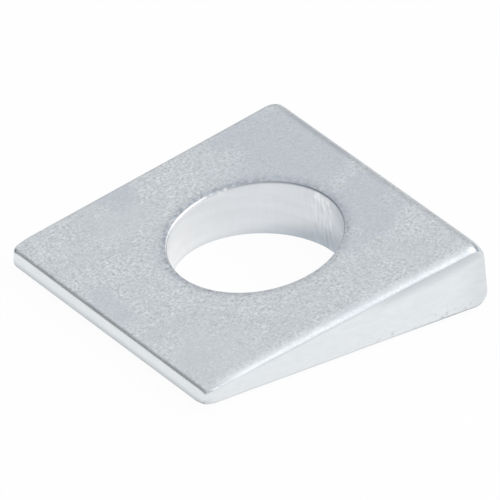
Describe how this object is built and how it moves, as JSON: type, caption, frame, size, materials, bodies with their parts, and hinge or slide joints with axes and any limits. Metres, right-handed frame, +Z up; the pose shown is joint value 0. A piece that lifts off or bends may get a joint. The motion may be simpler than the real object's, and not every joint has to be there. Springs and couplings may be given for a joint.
{
  "type": "square taper washer",
  "caption": "Square wedge-shaped steel washer with a round bolt hole, which levels the seat of a bolt or nut on a sloping flange.",
  "frame": {"origin": "on the bottom face's plane, under the middle of the washer's box", "axes": "+Z up from the level bottom face to the sloping top face, +X from the thin edge to the thick edge, +Y along the rolled bar, from the sheared side that is out of square to the square one"},
  "size_m": [0.0404, 0.041, 0.0091],
  "materials": {
    "zinc_plated_steel": "bright zinc plating, satin, with a fine matte mottle on the sloping face"
  },
  "bodies": {
    "root": {"taper_washer": "zinc_plated_steel"}
  },
  "joints": []
}
